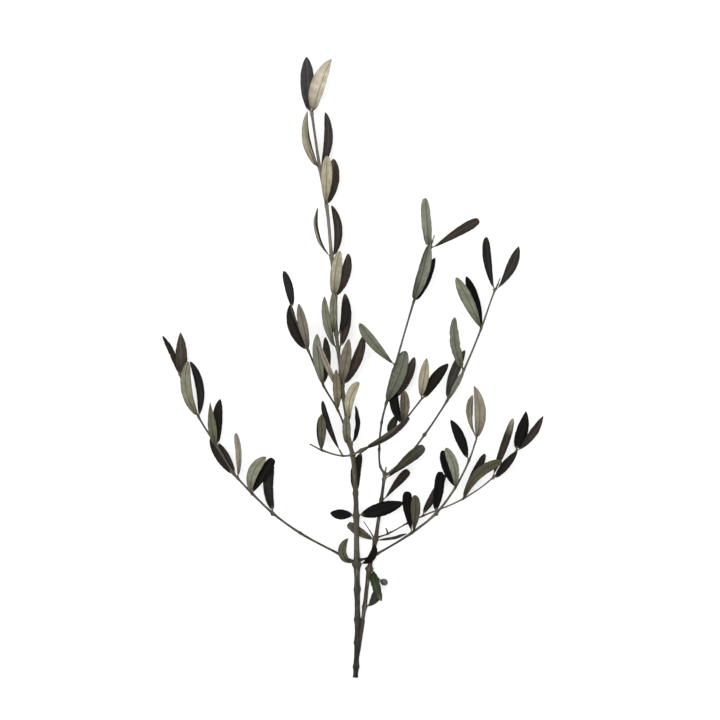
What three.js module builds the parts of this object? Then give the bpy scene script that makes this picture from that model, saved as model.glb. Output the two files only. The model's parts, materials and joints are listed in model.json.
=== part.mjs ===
// An olive branch lying on a table: a woody main stem that forks near its cut end, six side
// shoots, narrow leaves in opposite pairs, and one small unripe olive on its stalk.
// Millimetres, +Z up. The branch lies along +Y, from its cut end to the tip of the main stem.

import * as THREE from 'three';
import { mergeVertices } from 'three/addons/utils/BufferGeometryUtils.js';

// ---- Driving dimensions ----
const gap = 0.35;               // clear space between two pieces that touch in life
const internodeWidth = 0.9;     // a stem's width between its nodes, as a share of its nodes' width
const shoulder = 0.14;          // how far a node's swelling reaches, as a share of the internode
const stemSides = 8;
const leafSides = 6;
const petioleWidth = 1.1;
const petioleDepth = 0.9;
const petioleShare = 0.1;       // share of a leaf's length that is petiole
const bladeDepth = 0.9;         // blade at its midrib
const marginDroop = 0.08;       // how far each margin curls under, as a share of the blade's width
const tipWidth = 0.8;
const claspStep = THREE.MathUtils.degToRad(50);   // turn round the stem between a clasp's points
const olive = { length: 8.6, width: 7.6, sides: 16, steps: 10 };

// A blade's outline: how far along the blade, and the width there as a share of the full width.
const bladeOutline = [[0.13, 0.6], [0.38, 0.98], [0.7, 0.93], [0.91, 0.56]];

// ---- Finishes ----
const finish = (color, roughness) => new THREE.MeshStandardMaterial({ color, roughness, metalness: 0 });
const bark = finish(0x5d5748, 0.85);
const twigBark = finish(0x6c6953, 0.8);
const charcoal = finish(0x38332f, 0.5);
const sage = finish(0x96977f, 0.75);
const greige = finish(0x9c9284, 0.75);
const green = finish(0x4d6149, 0.6);
const brown = finish(0x4a3d33, 0.7);
const unripe = finish(0x5f6353, 0.45);

// ---- How the branch is written down ----
// A stem is a row of nodes: x, y, z, the stem's width there, and the leaf sets that it bears.
const node = (x, y, z, width, ...leafSets) => ({ at: new THREE.Vector3(x, y, z), width, leafSets });

// A leaf is its tip's x, y, z, its width, and its manner: turned is how far its upper side has
// rolled from facing up towards its right, bow bends it to its right, arch lifts its middle.
const leaf = (x, y, z, width, manner = {}) => ({
  tip: new THREE.Vector3(x, y, z), width, turned: 0, bow: 0, arch: 0, petiole: petioleShare, ...manner,
});
const pale = 180;               // turned right over, so that its pale underside faces up

const stems = {
  main_stem: [
    node(2.1, -341.5, 2.9, 5.8),
    node(2.8, -330, 3.3, 6.6),
    node(4.1, -303, 3.4, 6.8),
    node(4.3, -278, 3.4, 6.8),
    node(4.0, -244.5, 3.5, 7.0),
    node(3.7, -217.5, 3.7, 7.4, [
      leaf(-5.5, -188, 8, 9, { turned: pale, bow: -8.5, arch: 6.5, petiole: 0.3, tone: greige }),
      leaf(23, -193.5, 16, 9, { turned: 20, bow: 6, arch: 4, petiole: 0.25 }),
    ]),
    node(3.0, -163.5, 7.5, 6.4, [
      leaf(-25.7, -160, 4, 11, { bow: -0.5 }),
      leaf(55.3, -148, 17, 15, { bow: 0, arch: 2 }),
    ]),
    node(2.3, -138.5, 10.5, 5.6),
    node(-1, -96, 14.8, 5.4),
    node(-4, -84.5, 16, 5.1, [
      leaf(-8, -52, 27, 9, { turned: pale, arch: 2, tone: sage }),
      leaf(2, -42, 22, 9, { turned: 55, bow: 4 }),
    ]),
    node(-7, -60, 17.5, 4.6, [leaf(6.5, -16, 27, 10.5, { turned: pale, bow: -5.5, tone: sage })]),
    node(-11, -32, 19.5, 4.4),
    node(-12.3, -20, 20, 4.4, [
      leaf(-5, 31.5, 36, 12, { turned: pale, bow: 1, tone: greige }),
      leaf(10.5, 35, 16, 11, { bow: 3 }),
    ]),
    node(-17, 21, 21.5, 4.2, [
      leaf(-32, 78, 24, 10, { turned: 160, bow: -2.5, tone: sage }),
      leaf(-9.5, 81.5, 14, 11.5, { bow: 4 }),
    ]),
    node(-18.7, 36, 22, 4.1, [
      leaf(-22.5, 83, 34, 8, { turned: pale, arch: 3, tone: sage }),
      leaf(-8, 76, 28, 9, { bow: 3 }),
    ]),
    node(-20, 77, 22.5, 4.0, [
      leaf(-15, 127.5, 38, 12, { turned: pale, bow: -2, tone: greige }),
      leaf(-6, 125.5, 14, 11, { bow: 3 }),
    ]),
    node(-24, 121, 21.5, 3.9, [
      leaf(-38.5, 175.5, 30, 9, { turned: 125, bow: -6.5, tone: greige }),
      leaf(-24.5, 178.5, 10, 9, { bow: 6.5 }),
    ]),
    node(-29.5, 178, 19, 3.7, [
      leaf(-29, 232, 32, 12, { turned: pale, tone: greige }),
      leaf(-22, 230, 8, 14, { bow: 1.5 }),
    ]),
    node(-37, 219, 16, 3.4, [
      leaf(-50.5, 281.5, 26, 11.5, { turned: 150, bow: -6, tone: greige }),
      leaf(-31, 281.5, 5, 9.5, { bow: 5.5 }),
    ]),
    node(-46, 280, 11, 2.9, [
      leaf(-24, 338.5, 24, 13, { turned: pale, bow: -2, tone: greige }),
      leaf(-52, 343, 0, 15, { bow: 0 }),
    ]),
    node(-46.8, 284, 10.8, 1.4),
  ],

  second_stem: [
    node(8.8, -300, 3.2, 1.6),
    node(10.0, -280, 3.2, 4.0),
    node(12.2, -264, 3.2, 4.8, [leaf(27, -245, 2, 10.5, { bow: 1.5, petiole: 0.2, tone: green })]),
    node(17.3, -222, 3.4, 5.4, [leaf(31, -257, 11, 11, { turned: 30, bow: 1, arch: 5, tone: green })]),
    node(24.0, -190.5, 4.4, 4.8, [
      leaf(-6, -172, 0, 9.5, { turned: pale, bow: -1, petiole: 0.15, tone: sage }),
      leaf(59, -182.7, 5, 7, { turned: 60, bow: 1.5, petiole: 0.15, tone: green }),
    ]),
    node(30.5, -146, 9, 3.8, [leaf(61, -113, 11, 9.5, { bow: -1, tone: green })]),
    node(33.6, -122.5, 11.7, 3.6, [leaf(77.5, -86, 24, 12, { bow: -1, arch: 2, tone: green })]),
    node(34, -117.5, 12.2, 3.6),
    node(29.5, -109, 13, 2.4),
    node(28.3, -90, 14, 2.2),
    node(31, -60, 15.5, 2.2),
    node(36, -39, 17, 2.4, [
      leaf(57, 18.5, 30, 16, { turned: pale, bow: 3, tone: sage }),
      leaf(67, 11.5, 8, 11.5, { bow: 5 }),
    ]),
    node(46, 2, 19.5, 2.3, [leaf(6.5, 48.5, 28, 12.5, { turned: pale, bow: -1.5, tone: sage })]),
    node(66, 72, 21, 2.3, [
      leaf(82, 134, 33, 12.5, { turned: pale, bow: 2, tone: sage }),
      leaf(90, 121, 10, 13, { bow: 0 }),
    ]),
    node(84.5, 131, 20, 1.9, [
      leaf(78.5, 186, 28, 10.5, { turned: pale, tone: sage }),
      leaf(138, 162, 22, 10.5, { bow: -1, tone: green }),
    ]),
    node(86.5, 138, 19.8, 1.2),
    node(89, 146, 19.5, 0.8),
  ],

  left_branch: [
    node(-1.2, -213.3, 4.4, 2.8),
    node(-14.7, -206, 5.2, 2.6),
    node(-59, -182, 8, 2.6),
    node(-89, -160, 11, 2.6, [leaf(-89.8, -105, 4, 11, { bow: -4.5 })]),
    node(-111, -139, 12, 2.5, [
      leaf(-95.6, -97.7, 26, 12, { turned: pale, bow: -7, tone: sage }),
      leaf(-88, -100, 14, 11.5, { bow: -1 }),
    ]),
    node(-127.6, -121.5, 12.4, 2.4, [leaf(-128.8, -71.5, 22, 8, { turned: 150, bow: 2.5, tone: greige })]),
    node(-131, -117.5, 12.5, 2.4, [
      leaf(-157.5, -77.4, 6, 8.5, { bow: -2.5, arch: -2 }),
      leaf(-148.7, -83.3, 8, 7, { bow: 0.5, arch: -2 }),
    ]),
    node(-150.5, -86, 12, 2.3, [
      leaf(-157.2, -36.9, 24, 9, { turned: pale, bow: -1.5, tone: sage }),
      leaf(-146.4, -34.7, 8, 11, { bow: -1 }),
    ]),
    node(-170, -55, 11, 2.0, [
      leaf(-181.5, 7.3, 24, 12, { turned: pale, bow: -8, tone: sage }),
      leaf(-180.3, 6.6, 2, 9, { bow: 6.5 }),
    ]),
    node(-191, -9, 9, 1.4, [
      leaf(-190.4, 38.9, 12, 12.5, { tone: brown }),
      leaf(-210.5, 35.3, 0, 8, { bow: 2.5, petiole: 0.3 }),
    ]),
  ],

  left_shoot: [
    node(-9.8, -64.5, 18.5, 2.0),
    node(-17, -47, 20, 2.1, [
      leaf(-19, -2, 30, 8.5, { turned: pale, tone: greige }),
      leaf(-12, -18, 12, 7, { turned: 40 }),
    ]),
    node(-33, -19.5, 22, 2.1, [
      leaf(-39.5, 37, 32, 11, { turned: pale, bow: -1.5, tone: sage }),
      leaf(-31, 33.5, 12, 9, { bow: 2 }),
    ]),
    node(-49.5, 18.5, 24, 2.0, [
      leaf(-60, 70, 36, 10, { turned: pale, tone: brown }),
      leaf(-69, 70, 14, 11, { bow: -6.5 }),
    ]),
    node(-68.5, 65, 25, 1.7, [leaf(-76.5, 106, 26, 9, { bow: 1.5 })]),
  ],

  middle_shoots: [
    node(-48, -84, 18, 1.2),
    node(-34, -91, 19, 1.9, [
      leaf(-35, -51, 30, 9, { turned: pale, tone: greige }),
      leaf(-37.5, -54, 10, 9),
    ]),
    node(-12, -97, 18.6, 1.8),
    node(-1.5, -95.8, 19.3, 2.1),
    node(9, -90.8, 19.5, 2.5, [leaf(3, -137, 0, 11, { bow: 4, arch: -6 })]),
    node(13, -89, 20, 2.5, [leaf(62, -55, 40, 10, { turned: 150, bow: 4, tone: sage })]),
    node(37, -74, 23.5, 2.0),
    node(52, -62, 26, 2.0, [
      leaf(55, -25, 38, 10, { turned: pale, bow: 2, tone: greige }),
      leaf(45, -26, 15, 10.5, { bow: -3 }),
    ]),
    node(75, -34, 30, 1.7, [
      leaf(80, 10.5, 42, 10.5, { turned: pale, tone: greige }),
      leaf(104, 4.5, 22, 12, { bow: -2 }),
    ]),
  ],

  right_branch: [
    node(8.8, -211.6, 5.6, 2.7),
    node(18, -209, 8.4, 2.6),
    node(26, -205, 9, 2.5),
    node(63.8, -182, 11, 2.7, [
      leaf(67.6, -139.4, 26, 10.5, { turned: pale, bow: 1.5, tone: greige }),
      leaf(58.7, -136, 12, 11, { bow: -1.5 }),
    ]),
    node(91, -160, 13, 2.8, [leaf(95, -114, 25, 11, { bow: 1 })]),
    node(111.5, -132.5, 15, 2.3, [
      leaf(101, -87.5, 28, 10.5, { turned: pale, bow: 4, tone: sage }),
      leaf(98, -91, 8, 10, { bow: -2 }),
    ]),
    node(127, -102, 16, 2.0, [leaf(106.5, -57.5, 18, 11, { bow: 2 })]),
    node(135, -79, 16, 1.8, [
      leaf(132, -20, 28, 12, { turned: pale, bow: 5, tone: greige }),
      leaf(131, -30, 10, 7.5, { bow: -5 }),
    ]),
  ],

  thin_twig: [
    node(27.7, -186.6, 5, 1.6),
    node(38, -183, 6, 1.5),
    node(59, -171.6, 7, 1.4),
    node(76, -163.5, 7.5, 1.5, [leaf(103, -115, 5, 8.5)]),
    node(120, -144.8, 9, 1.5, [
      leaf(163, -103, 24, 11, { turned: pale, bow: -9, tone: sage }),
      leaf(145, -95, 5, 9),
    ]),
    node(153.3, -121.3, 9.5, 1.4, [
      leaf(175, -55.5, 22, 8.5, { bow: 1, petiole: 0.2 }),
      leaf(180, -91, 17, 9, { arch: 2 }),
    ]),
    node(179.3, -91.3, 8, 1.3, [
      leaf(209, -53, 14, 9.5, { turned: 20, bow: 2 }),
      leaf(190, -48, 0, 13, { bow: 1 }),
    ]),
  ],

  long_right_branch: [
    node(38.0, -116.8, 13, 2.4),
    node(60, -97, 14.5, 2.2),
    node(78, -74, 16, 2.2),
    node(103, -36, 17.5, 2.2, [
      leaf(121.5, -4, 26, 7, { turned: 140, tone: sage }),
      leaf(123, 19, 8, 10.5, { bow: -2 }),
    ]),
    node(121, -3, 17.5, 2.1, [leaf(111, 55.5, 26, 10.5, { turned: pale, bow: -4, tone: sage })]),
    node(140, 42, 15, 2.0, [
      leaf(112.5, 99, 26, 12.5, { turned: pale, bow: 1.5, tone: sage }),
      leaf(124, 100.5, 6, 11.5, { bow: 1 }),
    ]),
    node(155.5, 85, 11, 1.7, [
      leaf(146, 143.5, 18, 9.5, { bow: -2 }),
      leaf(182.5, 134, 0, 11, { bow: 2.5, petiole: 0.15 }),
    ]),
    node(158.5, 91, 10.8, 1.2),
    node(161.5, 99, 10.5, 0.8),
  ],
};

const oliveAt = new THREE.Vector3(33.7, -236.4, 4.4);
const stalk = [
  node(21.2, -224.5, 3.6, 1.5),
  node(25, -230, 3.7, 1.2),
  node(29.2, -234.2, 4.2, 2.0),
];

// ---- Swept bodies ----
const up = new THREE.Vector3(0, 0, 1);

// Closed body through a row of rings. A ring is a centre, a normal, the direction across it and
// two half sizes; droop lowers both of its side edges.
function skin(rings, sides) {
  const steps = rings.length - 1;
  const tube = new THREE.CylinderGeometry(1, 1, steps, sides, steps);
  tube.deleteAttribute('normal');
  tube.deleteAttribute('uv');
  const body = mergeVertices(tube);
  const spots = body.attributes.position;
  for (let i = 0; i < spots.count; i++) {
    const ring = rings[Math.round(spots.getY(i) + steps / 2)];
    const aside = spots.getX(i);
    const lift = spots.getZ(i) * ring.halfDepth - aside * aside * ring.droop;
    const spot = ring.centre.clone()
      .addScaledVector(ring.across, aside * ring.halfWidth)
      .addScaledVector(ring.normal, lift);
    spots.setXYZ(i, spot.x, spot.y, spot.z);
  }
  body.computeVertexNormals();
  return body;
}

function tangentsOf(points) {
  return points.map((point, i) => {
    const before = points[Math.max(i - 1, 0)];
    const after = points[Math.min(i + 1, points.length - 1)];
    return after.clone().sub(before).normalize();
  });
}

// The normals along a row of tangents, carried on from the first one without twisting.
function carryNormal(tangents, first) {
  const normals = [first.clone()];
  for (let i = 1; i < tangents.length; i++) {
    const turn = new THREE.Quaternion().setFromUnitVectors(tangents[i - 1], tangents[i]);
    normals.push(normals[i - 1].clone().applyQuaternion(turn));
  }
  return normals;
}

// The direction that a leaf's upper side faces, for a leaf that runs along direction.
function upperSide(direction, turned) {
  const right = direction.clone().cross(up).normalize();
  const above = right.cross(direction);
  return above.applyAxisAngle(direction, THREE.MathUtils.degToRad(turned));
}

const ringAt = (centre, tangent, normal, width, depth, droop = 0) => ({
  centre, normal, droop, across: tangent.clone().cross(normal), halfWidth: width / 2, halfDepth: depth / 2,
});

// A stem, a little swollen at each of its nodes.
function stemBody(nodes) {
  const curve = new THREE.CatmullRomCurve3(nodes.map((each) => each.at));
  const last = nodes.length - 1;
  const points = [];
  const widths = [];
  nodes.forEach((each, i) => {
    points.push(each.at);
    widths.push(each.width);
    if (i === last) return;
    for (const share of [shoulder, 1 - shoulder]) {
      points.push(curve.getPoint((i + share) / last));
      widths.push(THREE.MathUtils.lerp(each.width, nodes[i + 1].width, share) * internodeWidth);
    }
  });
  const tangents = tangentsOf(points);
  const normals = carryNormal(tangents, upperSide(tangents[0], 0));
  const rings = points.map((point, i) => {
    return ringAt(point, tangents[i], normals[i], widths[i], widths[i]);
  });
  return skin(rings, stemSides);
}

// The stations of one leaf from its petiole's foot to its tip, relative to its node.
function leafStations(blade, at, foot) {
  const tip = blade.tip.clone().sub(at);
  const heading = tip.clone().sub(foot);
  // The curve's middle lies half way out to its bend, so the bend is set twice as far.
  const aside = heading.clone().cross(up).normalize().multiplyScalar(2 * blade.bow);
  const bend = foot.clone().add(tip).multiplyScalar(0.5).add(aside).addScaledVector(up, 2 * blade.arch);
  const spine = new THREE.QuadraticBezierCurve3(foot, bend, tip);
  const station = (share, width, depth) => {
    const direction = spine.getTangent(share);
    const droop = (width > petioleWidth ? width : 0) * marginDroop;
    return { point: spine.getPoint(share), normal: upperSide(direction, blade.turned), width, depth, droop };
  };
  const along = (share) => blade.petiole + share * (1 - blade.petiole);
  return [
    station(0, petioleWidth, petioleDepth),
    station(blade.petiole, petioleWidth, petioleDepth),
    ...bladeOutline.map(([share, wide]) => station(along(share), wide * blade.width, bladeDepth)),
    station(1, tipWidth, bladeDepth / 2),
  ];
}

// Rings of the stations in order; each blade keeps its own normals, and the part between them
// turns evenly from one to the other. No ring reaches below the table.
function ringsThrough(stations, tableZ) {
  const tangents = tangentsOf(stations.map((each) => each.point));
  const fixed = stations.map((each, i) => (each.normal ? i : -1)).filter((i) => i >= 0);
  const normals = stations.map((each) => each.normal);
  for (let k = 1; k < fixed.length; k++) {
    const [from, to] = [fixed[k - 1], fixed[k]];
    if (to - from === 1) continue;
    const carried = carryNormal(tangents.slice(from, to + 1), normals[from]);
    const arrived = carried[to - from];
    const wanted = normals[to];
    const twist = Math.atan2(arrived.clone().cross(wanted).dot(tangents[to]), arrived.dot(wanted));
    for (let i = from + 1; i < to; i++) {
      normals[i] = carried[i - from].applyAxisAngle(tangents[i], twist * (i - from) / (to - from));
    }
  }
  return stations.map((each, i) => {
    const square = normals[i].clone().addScaledVector(tangents[i], -normals[i].dot(tangents[i])).normalize();
    const ring = ringAt(each.point.clone(), tangents[i], square, each.width, each.depth, each.droop);
    const sag = Math.abs(ring.across.z) * ring.halfWidth + Math.abs(square.z) * (ring.halfDepth + ring.droop);
    ring.centre.z = Math.max(ring.centre.z, tableZ + sag);
    return ring;
  });
}

// One leaf, or two opposite leaves whose feet meet in a clasp round the stem.
function leafBody(blades, nodeHere, along) {
  const reach = blades.map((blade) => blade.tip.clone().sub(nodeHere.at));
  const onward = along.clone();
  if (reach[0].dot(onward) + (reach[1] ?? reach[0]).dot(onward) < 0) onward.negate();
  const apart = reach[0].clone();
  if (reach[1]) apart.sub(reach[1]);
  const side = apart.addScaledVector(onward, -apart.dot(onward)).normalize();
  const radius = (nodeHere.width / 2 + gap + petioleWidth / 2) / Math.cos(claspStep / 2);
  const foot = side.clone().multiplyScalar(radius).add(onward);
  const first = leafStations(blades[0], nodeHere.at, foot);
  if (blades.length === 1) return skin(ringsThrough(first, -nodeHere.at.z), leafSides);

  const farFoot = side.clone().multiplyScalar(-radius).add(onward);
  const second = leafStations(blades[1], nodeHere.at, farFoot);
  const back = side.clone().cross(onward);
  const roomBelow = nodeHere.at.z - radius - petioleDepth > gap;
  if (back.z > 0 === roomBelow) back.negate();
  const clasp = [-1, 0, 1].map((step) => {
    const angle = claspStep * step;
    const point = back.clone().multiplyScalar(Math.cos(angle) * radius)
      .addScaledVector(side, -Math.sin(angle) * radius)
      .addScaledVector(onward, -Math.cos(angle));
    return { point, width: petioleWidth, depth: petioleDepth, droop: 0 };
  });
  delete first[0].normal;
  delete second[0].normal;
  return skin(ringsThrough([...first.reverse(), ...clasp, ...second], -nodeHere.at.z), leafSides);
}

// ---- The olive ----
function oliveBody() {
  const profile = [];
  for (let i = 0; i <= olive.steps; i++) {
    const angle = Math.PI * (i / olive.steps - 0.5);
    const along = Math.sin(angle);
    const radius = i === 0 || i === olive.steps ? 0 : Math.cos(angle) * olive.width / 2;
    profile.push(new THREE.Vector2(radius, along * olive.length / 2));
  }
  return new THREE.LatheGeometry(profile, olive.sides);
}

// ---- The whole branch ----
const branch = new THREE.Group();

function addMesh(group, name, geometry, material, position) {
  const mesh = new THREE.Mesh(geometry, material);
  mesh.name = name;
  if (position) mesh.position.copy(position);
  group.add(mesh);
  return mesh;
}

for (const [name, nodes] of Object.entries(stems)) {
  const shoot = new THREE.Group();
  addMesh(shoot, name, stemBody(nodes), name === 'main_stem' ? bark : twigBark);
  const tangents = tangentsOf(nodes.map((each) => each.at));
  let count = 0;
  nodes.forEach((each, i) => {
    for (const blades of each.leafSets) {
      count += 1;
      const kind = blades.length === 1 ? 'leaf' : 'leaves';
      const body = leafBody(blades, each, tangents[i]);
      addMesh(shoot, `${name}_${kind}_${count}`, body, blades[0].tone ?? charcoal, each.at);
    }
  });
  branch.add(shoot);
}

addMesh(branch, 'olive_stalk', stemBody(stalk), twigBark);
const fruit = addMesh(branch, 'olive', oliveBody(), unripe, oliveAt);
const fruitAxis = oliveAt.clone().sub(stalk.at(-1).at).normalize();
fruit.quaternion.setFromUnitVectors(new THREE.Vector3(0, 1, 0), fruitAxis);

// The origin is under the middle of the branch, on the table.
branch.updateMatrixWorld(true);
const extent = new THREE.Box3().setFromObject(branch, true);
const middle = extent.getCenter(new THREE.Vector3());
branch.position.set(-middle.x, -middle.y, -extent.min.z);

export default branch;
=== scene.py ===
"""Looks of the olive branch: fine leaves, bark, buds and fruit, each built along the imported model's
own solids. Lengths are in millimetres until a piece is made. A leaf's upper side is its dark one.
"""
import json
import math
import random

import bmesh
import bpy
import numpy as np
from mathutils import Matrix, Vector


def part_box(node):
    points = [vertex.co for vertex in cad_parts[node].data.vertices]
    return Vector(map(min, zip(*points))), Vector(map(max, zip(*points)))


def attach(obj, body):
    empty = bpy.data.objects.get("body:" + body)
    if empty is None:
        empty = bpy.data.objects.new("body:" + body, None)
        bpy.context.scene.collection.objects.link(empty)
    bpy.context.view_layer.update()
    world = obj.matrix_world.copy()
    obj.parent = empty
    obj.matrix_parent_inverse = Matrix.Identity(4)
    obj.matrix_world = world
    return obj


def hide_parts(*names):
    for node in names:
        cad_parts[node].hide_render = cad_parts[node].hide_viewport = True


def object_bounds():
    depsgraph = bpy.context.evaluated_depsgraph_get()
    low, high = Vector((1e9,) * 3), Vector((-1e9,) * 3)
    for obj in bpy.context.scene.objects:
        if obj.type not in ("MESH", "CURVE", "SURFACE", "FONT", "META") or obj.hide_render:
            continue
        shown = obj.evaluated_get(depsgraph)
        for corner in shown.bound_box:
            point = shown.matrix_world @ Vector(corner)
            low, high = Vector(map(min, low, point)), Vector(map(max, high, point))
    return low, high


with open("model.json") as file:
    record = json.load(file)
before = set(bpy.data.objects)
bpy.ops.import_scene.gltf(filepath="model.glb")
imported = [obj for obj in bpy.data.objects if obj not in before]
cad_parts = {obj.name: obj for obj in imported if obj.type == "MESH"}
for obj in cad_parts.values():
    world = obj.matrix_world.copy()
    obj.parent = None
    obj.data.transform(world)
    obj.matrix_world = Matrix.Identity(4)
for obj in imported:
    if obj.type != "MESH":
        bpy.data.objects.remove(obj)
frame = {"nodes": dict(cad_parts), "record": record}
cad_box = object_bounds()
low_corner, high_corner = (np.array(corner) for corner in cad_box)
slot_of = {part["node"]: part["material_slot"] for part in frame["record"]["subparts"]}

MM = 0.001
UP = np.array([0.0, 0.0, 1.0])


# ---- Camera, floor and light ----
LENS, SENSOR = 200, 36
VIEW_WIDTH = 0.792              # what the frame takes in at the branch, in metres
OFF_MIDDLE = (0.0079, 0.0077)   # the branch lies a little left of and below the frame's middle
LEAF_HEIGHT = 0.012             # where most of the leaves lie


def place(thing, spot, target):
    """Puts a light or camera at a spot, turned to face the target with +Y at the top of its view."""
    back = np.array(spot) - target
    back /= np.linalg.norm(back)
    right = np.cross((0, 1, 0), back)
    right /= np.linalg.norm(right)
    turned = Matrix(np.column_stack([right, np.cross(back, right), back]).tolist())
    thing.matrix_world = Matrix.Translation(list(spot)) @ turned.to_4x4()
    bpy.context.scene.collection.objects.link(thing)


middle = (low_corner + high_corner) / 2
aim_at = np.array([middle[0] + OFF_MIDDLE[0], middle[1] + OFF_MIDDLE[1], LEAF_HEIGHT])
lens = bpy.data.cameras.new("camera")
lens.lens, lens.sensor_width = LENS, SENSOR
lens.clip_end = 20
camera = bpy.data.objects.new("camera", lens)
place(camera, aim_at + UP * VIEW_WIDTH * LENS / SENSOR, aim_at)
bpy.context.scene.camera = camera
bpy.context.scene.view_settings.view_transform = "Standard"

SOFTBOX_SIZE = 1.6
SOFTBOX_AWAY, SOFTBOX_HEIGHT = 1.35, 2.1
SOFTBOXES = {"left": (180, 40), "far": (90, 24), "right": (0, 14), "near": (270, 16)}     # bearing, watts
ROOM_LIGHT = 0.2
for name, (bearing, watts) in SOFTBOXES.items():
    light = bpy.data.lights.new("softbox_" + name, "AREA")
    light.shape, light.size, light.energy = "SQUARE", SOFTBOX_SIZE, watts
    angle = math.radians(bearing)
    spot = aim_at + [SOFTBOX_AWAY * math.cos(angle), SOFTBOX_AWAY * math.sin(angle), SOFTBOX_HEIGHT]
    place(bpy.data.objects.new(light.name, light), spot, aim_at)

room = bpy.data.worlds.new("room")
room.use_nodes = True
room.node_tree.nodes["Background"].inputs["Color"].default_value = (1, 1, 1, 1)
room.node_tree.nodes["Background"].inputs["Strength"].default_value = ROOM_LIGHT
bpy.context.scene.world = room


# ---- Colours and materials ----
def colour(*screen):
    """A colour as it looks on a screen, 0 to 255, as the light it stands for."""
    share = np.array(screen) / 255
    return np.where(share > 0.04045, ((share + 0.055) / 1.055) ** 2.4, share / 12.92)


class Finish:
    """A material whose nodes are added one call at a time."""

    def __init__(self, name, **settings):
        self.material = bpy.data.materials.new(name)
        self.material.use_nodes = True
        self.tree = self.material.node_tree
        self.surface = self.tree.nodes["Principled BSDF"]
        self.set(self.surface, **settings)

    def set(self, made, **inputs):
        for name, value in inputs.items():
            socket = made.inputs[int(name[1:]) if name[0] == "_" else name.replace("_", " ")]
            if isinstance(value, bpy.types.NodeSocket):
                self.tree.links.new(value, socket)
            else:
                socket.default_value = value

    def add(self, kind, settings=None, **inputs):
        made = self.tree.nodes.new("ShaderNode" + kind)
        for name, value in (settings or {}).items():
            setattr(made, name, value)
        self.set(made, **inputs)
        return made

    def maths(self, operation, *values):
        inputs = {f"_{i}": value for i, value in enumerate(values)}
        return self.add("Math", {"operation": operation}, **inputs).outputs[0]

    def ramp(self, value, low, high, to_low=0.0, to_high=1.0):
        """Eases from to_low to to_high as value goes from low to high."""
        made = self.add("MapRange", {"interpolation_type": "SMOOTHSTEP"}, Value=value)
        self.set(made, From_Min=low, From_Max=high, To_Min=to_low, To_Max=to_high)
        return made.outputs["Result"]

    def mark(self, name):
        return self.add("Attribute", {"attribute_name": name}).outputs["Vector"]

    def noise(self, where, scale, detail=3.0, roughness=0.55):
        made = self.add("TexNoise", Vector=where, Scale=scale, Detail=detail, Roughness=roughness)
        return made.outputs["Fac"]

    def stretched(self, where, x, y, z):
        made = self.add("Mapping", Vector=where, Scale=(x, y, z))
        return made.outputs["Vector"]

    def mixed(self, share, first, second, blend="MIX"):
        made = self.add("Mix", {"data_type": "RGBA", "blend_type": blend}, Factor=share)
        for socket, value in (("A", first), ("B", second)):
            spot = next(s for s in made.inputs if s.name == socket and s.type == "RGBA")
            if isinstance(value, bpy.types.NodeSocket):
                self.tree.links.new(value, spot)
            else:
                spot.default_value = (*value, 1)
        return next(s for s in made.outputs if s.type == "RGBA")

    def bump(self, height, depth, below=None):
        inputs = {"Height": height, "Distance": depth * MM, "Strength": 1.0}
        if below:
            inputs["Normal"] = below
        return self.add("Bump", **inputs).outputs["Normal"]


VEIN_SPACING = 2.4              # between a leaf's side veins
VEIN_SLANT = 1.7                # how far along the leaf a side vein runs for each step aside
VEIN_WANDER = 2.2


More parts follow.
